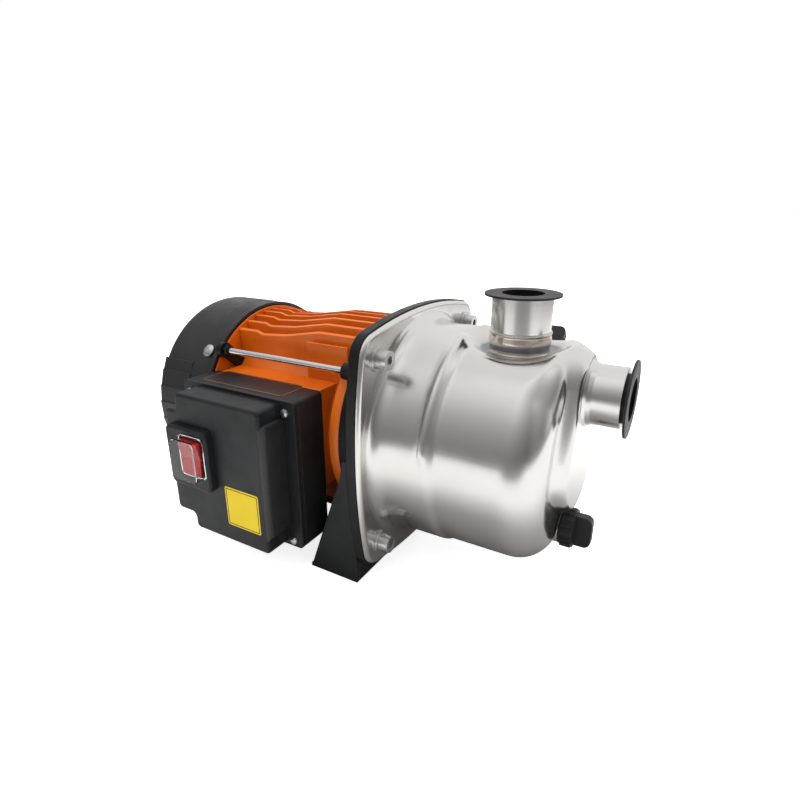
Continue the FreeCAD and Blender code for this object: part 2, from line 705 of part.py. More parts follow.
def make_rotor():
    ring("rotor_core", S.stack_back, S.stack_front, S.shaft_radius, S.rotor_radius)
    body = new_body("motor_shaft")
    r = S.shaft_radius
    spin(body, "Revolution", "X", [
        (-190, 0), (52, 0), (52, 5), (41, 5), (41, 6.5), (9, 6.5), (9, r), (-161, r), (-161, S.fan_bore),
        (-190, S.fan_bore)])
    half = S.bearing_split
    for prefix, start in (("front", S.front_bearing), ("rear", as_size(-160))):
        ring(f"{prefix}_bearing_outer", start, start + S.bearing_wide, half + S.run_gap, S.bearing_outer)
        ring(f"{prefix}_bearing_inner", start, start + S.bearing_wide, S.bearing_inner, half)


def make_endshield():
    """Rear bearing carrier with four ears for the tie rods."""
    back = S.housing_back
    hub_in = S.bearing_outer + S.touch_gap
    disc = turned("shield_disc", "X", [
        (back - 20, hub_in), (back - 20, 22), (back - 4.5, 22), (back - 4.5, 80), (back - 1, 80),
        (back - 1, 54.7),
        (back + 3, 54.7), (back + 3, 50), (back - 1, 50), (back - 1, 9), (back - 7, 9), (back - 7, hub_in)])
    arms = [disc]
    holes = []
    for y, z in CORNERS:
        lean = math.degrees(math.atan2(num(S.rod_z) * z, num(S.rod_y) * y))
        arm = doc.addObject("Part::Box", "Arm")
        arm.Length = 5.1
        arm.Width = 30
        arm.Height = 9
        turn = Rotation(Vector(1, 0, 0), lean)
        corner = turn.multVec(Vector(0, 49, -4.5))
        place(arm, (back - 0.9, corner.y, S.axis_high + corner.z), ((1, 0, 0), lean))
        ear = rod((back - 0.9, S.rod_y * y, S.rod_z * z), 5.1, S.rod_boss)
        arms.extend([arm, ear])
        holes.append(rod((back - 6, S.rod_y * y, S.rod_z * z), 20, S.rod_radius + S.touch_gap))
    body = fuse("shield_solid", arms)
    tube = S.bore_radius + S.housing_wall + S.part_gap
    sleeve = cut("shield_sleeve", rod((back, 0, 0), 10, tube),
                 rod((back - 1, 0, 0), 12, S.bore_radius - S.touch_gap))
    keep = cut("shield_cut", body, sleeve)
    cut("rear_endshield", keep, fuse("shield_holes", holes))


def make_rods():
    rods, nuts = [], []
    back = S.housing_back - 0.9
    for y, z in CORNERS:
        at_y, at_z = S.rod_y * y, S.rod_z * z
        rods.append(rod((back, at_y, at_z), -7 - back, S.rod_radius))
        block = hexagon((back + 5.2, at_y, at_z), 4, 4.6)
        nuts.append(cut("rod_nut", block, rod((back + 4, at_y, at_z), 8, S.rod_radius + S.touch_gap)))
    group("tie_rods", rods)
    group("tie_rod_nuts", nuts)


def make_fan():
    body = new_body("cooling_fan")
    spin(body, "Revolution", "X", [
        (-188, S.fan_bore + 0.02), (-188, 14), (-170, 14), (-170, 30), (-167.5, 30),
        (-167.5, S.fan_bore + 0.02)])
    blade = [(-1.2, 13), (1.2, 13), (1.2, S.fan_radius), (-1.2, S.fan_radius)]
    first = pad(body, "X", [blade], -186, 17)
    round_pattern(body, first, S.fan_blades)
    clip = new_body("fan_clip")
    spin(clip, "Revolution", "X", [
        (-189.7, S.fan_bore + 0.02), (-188.3, S.fan_bore + 0.02), (-188.3, 9), (-189.7, 9)])


def make_fan_cover():
    lip, end, r, wall = S.cover_lip, S.cover_end, S.cover_radius, S.cover_wall
    body = new_body("cover_blank")
    screw_holes = []
    spin(body, "Revolution", "X", [
        (lip, r - 2.6), (lip, r - 0.4), (lip - 4, r - 0.4), (lip - 6, r - 1.2), (lip - 18, r),
        (end, r, S.cover_bend), (end, 0), (end + wall, 0), (end + wall, r - wall, S.cover_bend - wall),
        (lip - 18, r - wall)])
    first = pocket(body, "X", [rectangle((-2, 30), (2, 68), 1.9)], end - 1, wall + 2)
    round_pattern(body, first, 24)
    first = pocket(body, "X", [rectangle((-1.8, 12), (1.8, 24), 1.7)], end - 1, wall + 2)
    round_pattern(body, first, 8)
    heads = []
    for lean in (141, 39, -39, -141):
        turn = ((1, 0, 0), lean)
        out = Rotation(Vector(1, 0, 0), lean).multVec(Vector(0, 1, 0))
        head = turned("head_blank", "Z", [
            (-9, 0), (-9, 2.2), (0.1, 2.2), (0.1, 5.4), (1.2, 5.2), (2.6, 2.6), (2.8, 0)],
            (lip - 10.6, S.screw_seat * out.y, S.axis_high + S.screw_seat * out.z), ((1, 0, 0), lean - 90))
        heads.append(head)
        hole = place(doc.addObject("Part::Cylinder", "Round"), (lip - 10.6, 0, S.axis_high),
                     ((1, 0, 0), lean - 90))
        put(hole, "Radius", Size("2.5", 2.5))
        hole.Height = 95
        screw_holes.append(hole)
    group("fan_cover_screws", heads)
    cut("fan_cover", body, fuse("screw_holes", screw_holes))


def lid_outline(inset, soft):
    """The lid's raised body, with square notches for the two left screws."""
    left, right = S.box_left + 0.3 + inset, S.lid_right - inset
    low, top = S.box_low + 2 + inset, S.box_top - 2.5 - inset
    step_top, step_low = left + S.notch_wide, left + S.notch_wide + 6
    return [(step_low, low, soft), (right, low, soft), (right, top, soft), (step_top, top, soft),
            (step_top, top - S.notch_tall, soft), (left, top - S.notch_tall, soft),
            (left, low + S.notch_tall - 1.5, soft), (step_low, low + S.notch_tall - 1.5, soft)]


def make_box():
    """Terminal box tray, lid with its raised body, gasket and lid screws."""
    left, right, low, top = S.box_left, S.box_right, S.box_low, S.box_top
    mid, wall, back = S.box_mid, S.box_wall, S.pad_face - S.touch_gap
    body = new_body("tray")
    pad(body, "Y", [rectangle((left, low), (right, top), 3)], mid, back - mid)
    pocket(body, "Y", [rectangle((left + wall + 4, low + wall), (right - wall, top - wall), 3)], mid - 1,
           back - mid - wall + 1)
    pocket(body, "X", [("circle", (S.gland_y, S.gland_z), 6.5)], left - 1, wall + 6)
    pocket(body, "Y", [("circle", (-90, 0), 6)], back - 4, 5)
    cut("terminal_box_base", body,
        rod((left - 1, 0, 0), S.cover_lip - left + 1.3, S.cover_radius + S.part_gap))
    lid = new_body("lid_blank")
    face = S.lid_face
    joint = mid - S.part_gap
    rim = S.lid_rim
    pad(lid, "Y", [rectangle((left, low), (right, top), 3)], joint - rim, rim)
    pad(lid, "Y", [lid_outline(0, as_size(4))], face, joint - face)
    soften(lid, 2.5, lambda edge, mid_point: abs(mid_point.y - num(face)) < 0.01)
    pocket(lid, "Y", [lid_outline(wall, as_size(2))], face + wall, joint - face - wall + 1)
    hole = rectangle((S.boot_x - 11, S.boot_z - 14.5), (S.boot_x + 11, S.boot_z + 14.5))
    pocket(lid, "Y", [hole], face - 1, wall + 3)
    right_x = S.lid_right + 5.5
    spots = [(right_x, top - 8.5), (right_x, low + 5), (left + 7, top - 8.5), (left + 10, low + 7)]
    cut("terminal_box_cover", lid, fuse("lid_holes", [rod((x, face, z), 40, 1.9, "Y") for x, z in spots]))
    heads = [turned("lid_screw", "Z",
                    [(-4, 0), (-4, 1.8), (0.05, 1.8), (0.05, 3.3), (1.4, 2.9), (2.0, 1.4), (2.1, 0)],
                    (x, joint - rim, S.axis_high + z), ((1, 0, 0), 90)) for x, z in spots]
    group("cover_screws", heads)
    seal = new_body("terminal_box_gasket")
    pad(seal, "Y", [rectangle((left + 1, low + 1), (right - 1, top - 1), 3),
                    rectangle((left + 4, low + 4), (right - 4, top - 4), 2)], joint + 0.05, 0.2)


def make_switch():
    face = S.lid_face
    body = new_body("switch_frame")
    pad(body, "Y", [rectangle((S.switch_left, S.switch_low), (S.switch_right, S.switch_top), 5)],
        S.switch_face, face - S.touch_gap - S.switch_face)
    soften(body, 2, lambda edge, mid: abs(mid.y - num(S.switch_face)) < 0.01)
    x, z = S.boot_x, S.boot_z
    pad(body, "Y", [rectangle((x - 10.9, z - 14.4), (x + 10.9, z + 14.4))], face - 1, 20)
    wide, tall = S.rocker_wide / 2 + 0.4, S.rocker_tall / 2 + 1
    pocket(body, "Y", [rectangle((x - wide, z - tall), (x + wide, z + tall))], S.switch_face - 1, 12)
    reach = wide + 1.2
    spin_at = S.switch_face + 1
    pocket(body, "X", [("circle", (spin_at, z), S.pivot_radius + S.run_gap)], x - reach, reach * 2)
    boot = new_body("switch_boot")
    half, high = S.boot_wide / 2, S.boot_tall / 2
    top = S.switch_face - S.boot_deep
    pad(boot, "Y", [rectangle((x - half, z - high), (x + half, z + high), 4)], top,
        S.boot_deep - S.touch_gap)
    soften(boot, 2, lambda edge, mid: abs(mid.y - num(top)) < 0.01)
    wall = S.boot_wall
    pocket(boot, "Y", [rectangle((x - half + wall, z - high + wall), (x + half - wall, z + high - wall), 3)],
           top + wall, S.boot_deep)
    rocker = new_body("switch_rocker", (x, S.switch_face + 1, S.axis_high + z))
    half, high = S.rocker_wide / 2, S.rocker_tall / 2
    outline = [(2.5, -high), (-3.0, -high), (-2.2, 0), (-4.8, high), (2.5, high), (5, 0)]
    pad(rocker, "X", [outline], -half, half * 2)
    pad(rocker, "X", [("circle", (0, 0), S.pivot_radius)], -half - 1.2, half * 2 + 2.4)


def make_box_inside():
    long = S.capacitor_long
    floor = S.pad_face - S.touch_gap - S.box_wall
    start = (S.box_left + S.notch_wide + 13, floor - S.capacitor_radius, S.box_low + 24)
    can = rod(start, long, S.capacitor_radius)
    stud = rod((start[0] + long, start[1], start[2]), 8, 4)
    fuse("run_capacitor", [can, stud])
    block = box((-90, floor - 20.05, 5), (40, 20, 18))
    bores = [rod((-84 + 9.3 * n, floor - 30, 14), 20, 2.5, "Y") for n in range(4)]
    cut("terminal_block", block, fuse("terminal_bores", bores))
    left = S.box_left
    y, z = S.gland_y, S.gland_z
    nut = hexagon((left - 8, y, z), 8 - S.touch_gap, 8.4)
    dome = rod((left - 19, y, z), 11, 7.2)
    stem = rod((left - 1, y, z), 9, 6.4)
    body = fuse("gland_solid", [nut, dome, stem])
    cut("cable_gland", body, rod((left - 30, y, z), 50, 4))


def make_seal_set():
    """Seal plate, gasket, mechanical seal, impeller, diffuser and venturi."""
    turned("seal_plate", "X", [
        (S.flange_back - 3.9, 16), (S.flange_back - 3.9, S.plate_radius), (S.flange_back - 2, S.plate_radius),
        (S.flange_back - 2, 18),
        (14, 18), (14, 16)])
    ring("casing_gasket", S.flange_back - 2, S.flange_back, 72, S.plate_radius)
    ring("seal_seat", 8.5, 13.5, 7.6, 15.9)
    ring("seal_head", 13.6, 17.5, 6.52, 12)
    ring("seal_spring", 17.6, 26, 6.8, 10)
    x = S.impeller_x
    body = new_body("impeller")
    spin(body, "Revolution", "X", [
        (x - 3, 6.52), (x - 3, 14), (x, 14), (x, S.impeller_radius),
        (x + 2.5, S.impeller_radius), (x + 2.5, 14),
        (x + 10.5, 12), (x + 10.5, 6.52)])
    vane = [(-1.2, 12), (1.2, 12), (S.impeller_radius * 0.45, S.impeller_radius * 0.88),
            (S.impeller_radius * 0.40, S.impeller_radius * 0.9)]
    first = pad(body, "X", [vane], x + 2, 6.5)
    round_pattern(body, first, S.vane_count)
    spin(body, "Revolution", "X", [
        (x + 8, 20), (x + 8, S.impeller_radius), (x + 10, S.impeller_radius), (x + 10, 20)])
    nut = hexagon((x + 11, 0, 0), 5, 9)
    cut("impeller_nut", nut, rod((x, 0, 0), 30, 5.02))
    diffuser = new_body("diffuser")
    r = S.diffuser_radius
    spin(diffuser, "Revolution", "X", [
        (x - 4, r - 3), (x - 4, r), (x + 19, r), (x + 19, 14), (x + 16.5, 14), (x + 16.5, r - 3)])
    vane = [(-1.2, 22), (1.2, 22), (20, r - 5), (17, r - 4)]
    first = pad(diffuser, "X", [vane], x + 16, 10)
    round_pattern(diffuser, first, 9)
    throat = S.venturi_throat
    turned("venturi", "X", [
        (x + 19.05, 14), (x + 19.05, 17), (90, 11), (108, 15), (108, 12.5), (92, throat), (80, throat)])
    turned("jet_nozzle", "X", [
        (108.05, 12), (108.05, 15), (116, 15), (116, 8.5), (110, 4), (98, 3), (98, 4.4), (108, 6)])


def make_suction():
    body = new_body("suction_chamber")
    wide = 21
    loop = [(-wide, -wide), (wide, -wide), (wide, S.port_in_z + wide), (-wide, S.port_in_z + wide)]
    outer = [(as_size(y), as_size(z), as_size(15)) for y, z in loop]
    pad(body, "X", [outer], 116.2, 18.5)
    small = [(as_size(y), as_size(z), as_size(13)) for y, z in (
        (-wide + 2, -wide + 2), (wide - 2, -wide + 2), (wide - 2, S.port_in_z + wide - 2),
        (-wide + 2, S.port_in_z + wide - 2))]
    pocket(body, "X", [small], 118.2, 20)
    pocket(body, "X", [("circle", (0, 0), 8)], 115, 5)


def check_and_write(nodes):
    """Stop on any faulty object, then write one file per node."""
    doc.recompute()
    for item in doc.Objects:
        if "Invalid" in item.State or "Error" in item.State:
            raise RuntimeError(f"{item.Label} is not sound: {item.State}")
    os.makedirs("parts", exist_ok=True)
    for old in os.listdir("parts"):
        os.remove(os.path.join("parts", old))
    for node in nodes:
        item = doc.getObjectsByLabel(node)[0]
        shape = item.Shape
        if shape.isNull() or not shape.isValid() or not shape.Solids:
            raise RuntimeError(f"{node} has no valid solid")
        shape.exportStep(f"parts/{node}.step")
        span = shape.BoundBox
        print(f"{node}: {len(shape.Solids)} solids, {len(shape.Faces)} faces, "
              f"x {span.XMin:.1f}..{span.XMax:.1f} y {span.YMin:.1f}..{span.YMax:.1f} "
              f"z {span.ZMin:.1f}..{span.ZMax:.1f}")


NODES = [
    "pump_casing", "outlet_socket", "inlet_socket", "outlet_cap", "inlet_cap", "drain_boss", "drain_plug",
    "drain_seal", "filler_boss", "filler_plug", "filler_seal", "casing_screws", "casing_washers",
    "casing_nuts", "front_bracket", "foot_stand", "rear_support", "motor_housing", "stator_core",
    "stator_windings", "rotor_core", "motor_shaft", "front_bearing_outer", "front_bearing_inner",
    "rear_bearing_outer", "rear_bearing_inner", "rear_endshield", "tie_rods", "tie_rod_nuts", "cooling_fan",
    "fan_clip", "fan_cover", "fan_cover_screws", "cover_screws", "terminal_box_base", "terminal_box_cover",
    "terminal_box_gasket",
    "switch_frame", "switch_boot", "switch_rocker", "run_capacitor", "terminal_block", "cable_gland",
    "seal_plate", "casing_gasket", "seal_seat", "seal_head", "seal_spring", "impeller", "impeller_nut",
    "diffuser", "venturi", "jet_nozzle", "suction_chamber",
]

make_casing()
make_ports()
make_plugs()
make_bolts()
make_bracket()
make_foot()
make_support()
make_housing()
make_stator()
make_rotor()
make_endshield()
make_rods()
make_fan()
make_fan_cover()
make_box()
make_switch()
make_box_inside()
make_seal_set()
make_suction()
check_and_write(NODES)
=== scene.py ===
"""Looks of a garden jet pump: orange finned motor, black covers and a polished steel pump head."""
import bpy
import bmesh
import json
import math
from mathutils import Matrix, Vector


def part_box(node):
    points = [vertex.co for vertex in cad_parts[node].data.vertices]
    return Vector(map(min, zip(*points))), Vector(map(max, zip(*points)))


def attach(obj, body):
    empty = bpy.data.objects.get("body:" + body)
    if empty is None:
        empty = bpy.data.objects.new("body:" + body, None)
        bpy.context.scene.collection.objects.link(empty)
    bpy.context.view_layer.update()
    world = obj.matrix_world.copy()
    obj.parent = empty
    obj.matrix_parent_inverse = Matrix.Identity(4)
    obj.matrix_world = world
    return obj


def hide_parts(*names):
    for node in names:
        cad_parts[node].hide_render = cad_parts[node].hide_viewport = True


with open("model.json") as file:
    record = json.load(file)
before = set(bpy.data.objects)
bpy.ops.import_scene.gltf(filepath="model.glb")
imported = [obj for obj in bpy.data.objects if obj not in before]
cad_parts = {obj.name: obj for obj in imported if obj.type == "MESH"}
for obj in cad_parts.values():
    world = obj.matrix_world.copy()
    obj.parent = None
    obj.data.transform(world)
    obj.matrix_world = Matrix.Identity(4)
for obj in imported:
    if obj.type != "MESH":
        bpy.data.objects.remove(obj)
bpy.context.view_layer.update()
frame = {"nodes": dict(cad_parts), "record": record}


# Places and sizes in metres; a name that ends in HIGH is counted from the motor's axis
def middle_of(node, axis):
    """Middle of a piece along one axis of the frame, to the micrometre."""
    low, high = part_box(node)
    return round((low[axis] + high[axis]) / 2, 6)


AXIS = middle_of("rotor_core", 2)
OUTLET_X = middle_of("outlet_cap", 0)
INLET_HIGH = middle_of("inlet_cap", 2) - AXIS
DRAIN_HIGH = middle_of("drain_boss", 2) - AXIS
FILLER_X = middle_of("filler_boss", 0)
FLOOR = -0.0004
SHELL_RADIUS = 0.08005
BELLY_RADIUS = 0.0820
LABEL_THICK = 0.0002

# Values that most looks share
EDGE_ROUND = 0.0006
PATCHES = 30.0
BEVEL_SAMPLES = 4

# A vector sum's node, and the numbers of the colour sockets on a mix
VECTOR = "ShaderNodeVectorMath"
MIX_A, MIX_B, MIX_RESULT = 6, 7, 2


# Node helpers; a source is a node with the name of its output, or a plain value
def new_material(name):
    material = bpy.data.materials.new(name)
    material.use_nodes = True
    tree = material.node_tree
    return material, tree, tree.nodes["Principled BSDF"]


def add(tree, kind, **values):
    """A node with some of its inputs and settings given as plain values."""
    node = tree.nodes.new(kind)
    for key, value in values.items():
        if key in node.inputs:
            node.inputs[key].default_value = value
        else:
            setattr(node, key, value)
    return node


def feed(tree, source, socket):
    if isinstance(source, tuple) and hasattr(source[0], "outputs"):
        node, out = source
        tree.links.new(node.outputs[out], socket)
    else:
        socket.default_value = source


def wire(tree, node, sources):
    """Fill a node's inputs, each named in a dictionary with its source."""
    for name, source in sources.items():
        feed(tree, source, node.inputs[name])


def calc(tree, operation, *terms, kind="ShaderNodeMath", **settings):
    """The result of one sum, with a source for each term."""
    node = add(tree, kind, operation=operation, **settings)
    for term, socket in zip(terms, node.inputs):
        feed(tree, term, socket)
    return node, "Value"


def object_point(tree):
    return add(tree, "ShaderNodeTexCoord"), "Object"


def scaled_point(tree, scale):
    node = add(tree, "ShaderNodeMapping")
    wire(tree, node, {"Vector": object_point(tree), "Scale": scale})
    return node, "Vector"


def noise(tree, scale, detail=4.0, rough=0.55, stretch=(1, 1, 1)):
    node = add(tree, "ShaderNodeTexNoise", Scale=scale, Detail=detail, Roughness=rough)
    wire(tree, node, {"Vector": scaled_point(tree, stretch)})
    return node, "Fac"


def ramp(tree, source, stops):
    """Colours between stops, each a place from 0 to 1 and a colour."""
    node = add(tree, "ShaderNodeValToRGB")
    items = node.color_ramp.elements
    while len(items) < len(stops):
        items.new(0.5)
    for item, (where, color) in zip(items, stops):
        item.position = where
        item.color = color if len(color) == 4 else (*color, 1)
    wire(tree, node, {"Fac": source})
    return node, "Color"


def fade(tree, source, near, far, at_near=0.0, at_far=1.0, curve="LINEAR"):
    """From one value at near to another at far, and level outside them."""
    node = add(tree, "ShaderNodeMapRange", interpolation_type=curve)
    wire(tree, node, {
        "Value": source, "From Min": near, "From Max": far, "To Min": at_near, "To Max": at_far})
    return node, "Result"


def mix_color(tree, factor, a, b):
    node = add(tree, "ShaderNodeMix", data_type="RGBA")
    wire(tree, node, {"Factor": factor, MIX_A: a, MIX_B: b})
    return node, MIX_RESULT


def soft_normal(tree, radius):
    return add(tree, "ShaderNodeBevel", Radius=radius, samples=BEVEL_SAMPLES), "Normal"


def bump(tree, height, strength, distance, under=None):
    """Fine relief in the normal, on top of another normal where one is given."""
    node = add(tree, "ShaderNodeBump", Strength=strength, Distance=distance)
    wire(tree, node, {"Height": height})
    if under:
        wire(tree, node, {"Normal": under})
    return node, "Normal"


def grey(value):
    return (value, value, value, 1)


def highlight_edge_mask(tree, rounded, gain):
    """White where two faces meet, from the difference of a rounded and a true normal; it places the painted
    edge highlights.
    """
    geometry = add(tree, "ShaderNodeNewGeometry")
    agree = calc(tree, "DOT_PRODUCT", rounded, (geometry, "True Normal"), kind=VECTOR)
    return calc(tree, "MULTIPLY", calc(tree, "SUBTRACT", 1.0, agree), gain, use_clamp=True)


# Materials
def surface(name, dark, light, rough, grain, depth, metal=0.0, edge=None, highlight_gain=2.5, coat=0.0,
            specular=0.5):
    """Everyday surface: two tones, a moving roughness, fine grain and edges lightened as a painted
    highlight.
    """
    material, tree, shader = new_material(name)
    rounded = soft_normal(tree, EDGE_ROUND)
    tone = ramp(tree, noise(tree, PATCHES), [(0.3, dark), (0.7, light)])
    # Painted highlight: the edges are lightened towards the edge colour, as if they caught the light
    if edge:
        tone = mix_color(tree, highlight_edge_mask(tree, rounded, highlight_gain), tone, (*edge, 1))
    smooth, matt = rough
    wire(tree, shader, {
        "Base Color": tone,
        "Roughness": ramp(tree, noise(tree, PATCHES * 2.3, 6.0), [(0.3, grey(smooth)), (0.7, grey(matt))]),
        "Normal": bump(tree, noise(tree, grain, 3.0), depth, 0.0004, rounded),
        "Metallic": metal, "Coat Weight": coat, "Coat Roughness": 0.15, "Specular IOR Level": specular})
    return material


def heat_tint_and_shade(tree, tone, weld):
    """Heat colours and painted shade over a tone, which fade with the distance from the middle of a weld in
    plan; the dark blue-grey ring nearest the weld is partly heat tint and partly painted shade.
    """
    far = calc(tree, "DISTANCE", scaled_point(tree, (1, 1, 0)), weld, kind=VECTOR)
    uneven = calc(tree, "MULTIPLY_ADD", noise(tree, 60.0), 0.003, far)
    spread = fade(tree, uneven, 0.0240, 0.046)
    # The dark blue-grey nearest the weld is partly heat tint and partly painted shade; the tan after it is
    # heat tint
    tint_and_shade_colors = ramp(tree, spread, [
        (0.0, (0.13, 0.14, 0.16)), (0.20, (0.17, 0.19, 0.22)), (0.30, (0.40, 0.41, 0.43)),
        (0.5, (0.62, 0.57, 0.50)), (1.0, (0.70, 0.68, 0.65))])
    share = ramp(tree, spread, [(0.22, grey(1.0)), (0.32, grey(0.5)), (0.6, grey(0.2)), (1.0, grey(0.0))])
    return mix_color(tree, share, tone, tint_and_shade_colors)


def steel(name, weld=None, dull=(0.66, 0.645, 0.62), bright=(0.74, 0.725, 0.70)):
    """Pressed and polished stainless sheet, with heat colours and painted shade round a weld."""
    material, tree, shader = new_material(name)
    tone = ramp(tree, noise(tree, 9.0, 5.0), [(0.3, dull), (0.72, bright)])
    if weld:
        tone = heat_tint_and_shade(tree, tone, weld)
    waves = bump(tree, noise(tree, 14.0, 1.5), 0.16, 0.004, soft_normal(tree, 0.0007))
    brushed = noise(tree, 420.0, 6.0, stretch=(0.12, 1, 1))
    wire(tree, shader, {
        "Base Color": tone, "Metallic": 1.0,
        "Roughness": ramp(tree, noise(tree, 22.0, 8.0, 0.65), [(0.35, grey(0.15)), (0.75, grey(0.27))]),
        "Normal": bump(tree, brushed, 0.05, 0.0003, waves)})
    return material


def clear(name):
    """Thin clear rubber, with a low index so that what is under it stays in place."""
    material, tree, shader = new_material(name)
    wire(tree, shader, {
        "Base Color": ramp(tree, noise(tree, 40.0), [(0.3, (0.86, 0.88, 0.89)), (0.7, (0.95, 0.96, 0.97))]),
        "Roughness": 0.03, "Transmission Weight": 1.0, "IOR": 1.22,
        "Normal": bump(tree, noise(tree, 90.0), 0.08, 0.0006)})
    return material


def framed_label(name, base, border, low, high, width, axes):
    """A bare printed label: one field and a thin border line, placed by distance from its edges."""
    material, tree, shader = new_material(name)
    split = add(tree, "ShaderNodeSeparateXYZ")
    wire(tree, split, {"Vector": object_point(tree)})
    gaps = []
    for letter, start, end in zip(axes, low, high):
        off = calc(tree, "ABSOLUTE", calc(tree, "SUBTRACT", (split, letter), (start + end) / 2))
        gaps.append(calc(tree, "SUBTRACT", (end - start) / 2, off))
    nearest = calc(tree, "MINIMUM", *gaps)
    off = calc(tree, "ABSOLUTE", calc(tree, "SUBTRACT", nearest, width * 2))
    line = calc(tree, "LESS_THAN", off, width / 2)
    field = ramp(tree, noise(tree, 50.0), [(0.3, base), (0.7, tuple(part * 1.08 for part in base))])
    wire(tree, shader, {
        "Base Color": mix_color(tree, line, field, (*border, 1)),
        "Roughness": 0.38, "Specular IOR Level": 0.25,
        "Normal": bump(tree, noise(tree, 120.0), 0.06, 0.0002)})
    return material


# Each edge colour below is a painted highlight on the pieces' edges
LOOKS = {
    "polished_steel": steel("look_steel"),
    "cap_rubber": surface("look_cap_rubber", (0.013, 0.013, 0.014), (0.022, 0.022, 0.024), (0.45, 0.6),
                          300, 0.15, edge=(0.07, 0.07, 0.07), specular=0.4),
    "plug_plastic": surface("look_plug", (0.010, 0.010, 0.010), (0.018, 0.018, 0.018), (0.32, 0.45),
                            500, 0.1, edge=(0.05, 0.05, 0.05), specular=0.35),
    "seal_rubber": surface("look_seal", (0.010, 0.010, 0.010), (0.02, 0.02, 0.02), (0.5, 0.7), 300, 0.2),
    "zinc_bolt": surface("look_zinc", (0.55, 0.55, 0.54), (0.75, 0.75, 0.74), (0.2, 0.38),
                         350, 0.2, metal=1.0, edge=(0.9, 0.9, 0.9)),
    "black_casting": surface("look_casting", (0.005, 0.005, 0.006), (0.010, 0.010, 0.011), (0.35, 0.5),
                             500, 0.25, edge=(0.04, 0.04, 0.04), specular=0.25),
    "black_plastic": surface("look_black_plastic", (0.010, 0.011, 0.012), (0.018, 0.019, 0.021),
                             (0.38, 0.52), 900, 0.22, edge=(0.06, 0.06, 0.062), specular=0.3),
    "orange_paint": surface("look_orange", (0.68, 0.125, 0.003), (0.80, 0.165, 0.006), (0.34, 0.46),
                            260, 0.22, edge=(0.98, 0.36, 0.08), highlight_gain=2.0, coat=0.04, specular=0.45),
    "core_steel": surface("look_core", (0.2, 0.2, 0.2), (0.3, 0.3, 0.3), (0.4, 0.6), 300, 0.2, metal=1.0),
    "winding_copper": surface("look_copper", (0.5, 0.2, 0.08), (0.7, 0.3, 0.14), (0.3, 0.45),
                              300, 0.5, metal=1.0),
    "shaft_steel": surface("look_shaft", (0.5, 0.5, 0.5), (0.66, 0.66, 0.66), (0.16, 0.3),
                           300, 0.1, metal=1.0),
    "chrome_rod": surface("look_chrome", (0.72, 0.72, 0.72), (0.85, 0.85, 0.85), (0.08, 0.18),
                          300, 0.05, metal=1.0, edge=(0.95, 0.95, 0.95)),
    "cover_plastic": surface("look_cover", (0.009, 0.009, 0.010), (0.016, 0.016, 0.018), (0.40, 0.54),
                             800, 0.25, edge=(0.06, 0.06, 0.062), specular=0.55),
    "clear_boot": clear("look_boot"),
    "red_rocker": surface("look_rocker", (0.55, 0.008, 0.008), (0.7, 0.016, 0.014), (0.18, 0.28),
                          200, 0.05, edge=(0.95, 0.2, 0.16), coat=0.3),
    "capacitor_shell": surface("look_can", (0.6, 0.6, 0.57), (0.72, 0.72, 0.7), (0.4, 0.5), 200, 0.1),
    "block_plastic": surface("look_block", (0.6, 0.58, 0.5), (0.72, 0.7, 0.62), (0.35, 0.5), 200, 0.1),
    "seal_ceramic": surface("look_ceramic", (0.75, 0.75, 0.72), (0.85, 0.85, 0.83), (0.2, 0.3),
                            200, 0.05),
    "wheel_plastic": surface("look_wheel", (0.03, 0.03, 0.032), (0.05, 0.05, 0.054), (0.35, 0.5),
                             300, 0.2),
}
# Casing steel, with heat tint and painted shade round the outlet weld
tint_and_shade_steel = steel("look_steel_weld_tint_shade", (OUTLET_X + 0.0015, -0.0015, 0.0))
neck_steel = steel("look_steel_neck", dull=(0.60, 0.52, 0.45), bright=(0.76, 0.73, 0.69))
# Painted shade for the inside of the caps: near black and with little shine
cap_shade_look = surface("look_cap_shade", (0.002, 0.002, 0.002), (0.004, 0.004, 0.004), (0.6, 0.8),
                     300, 0.2, specular=0.08)

slot_of = {item["node"]: item["material_slot"] for item in frame["record"]["subparts"]}
for node, piece in frame["nodes"].items():
    for slot in piece.material_slots:
        slot.material = tint_and_shade_steel if node == "pump_casing" else LOOKS[slot_of[node]]


# Mesh helpers
def mesh_piece(name, bm, body, look, smooth=True, sharp=None):
    """A new piece from a finished mesh; sharp is the angle in degrees from which its edges stay hard."""
    mesh = bpy.data.meshes.new(name)
    bm.to_mesh(mesh)
    bm.free()
    piece = bpy.data.objects.new(name, mesh)
    bpy.context.scene.collection.objects.link(piece)
    piece.data.materials.append(look)
    for face in piece.data.polygons:
        face.use_smooth = smooth
    if sharp:
        piece.data.set_sharp_from_angle(angle=math.radians(sharp))
    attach(piece, body)
    return piece


def polar(radius, angle):
    return radius * math.cos(angle), radius * math.sin(angle)


def bridge(bm, here, there, closed=True):
    """Faces between two rows of as many points each."""
    count = len(here)
    for step in range(count if closed else count - 1):
        after = (step + 1) % count
        bm.faces.new((here[step], here[after], there[after], there[step]))


def bridge_round(bm, rows, closed=True):
    """Faces between each row and the next one, and from the last back to the first."""
    for here, there in zip(rows, rows[1:] + rows[:1]):
        bridge(bm, here, there, closed)


def bridge_stack(bm, rings):
    """Faces between rings that follow each other, with both ends closed."""
    for here, there in zip(rings, rings[1:]):
        bridge(bm, here, there)
    bm.faces.new(rings[-1])
    bm.faces.new(list(reversed(rings[0])))


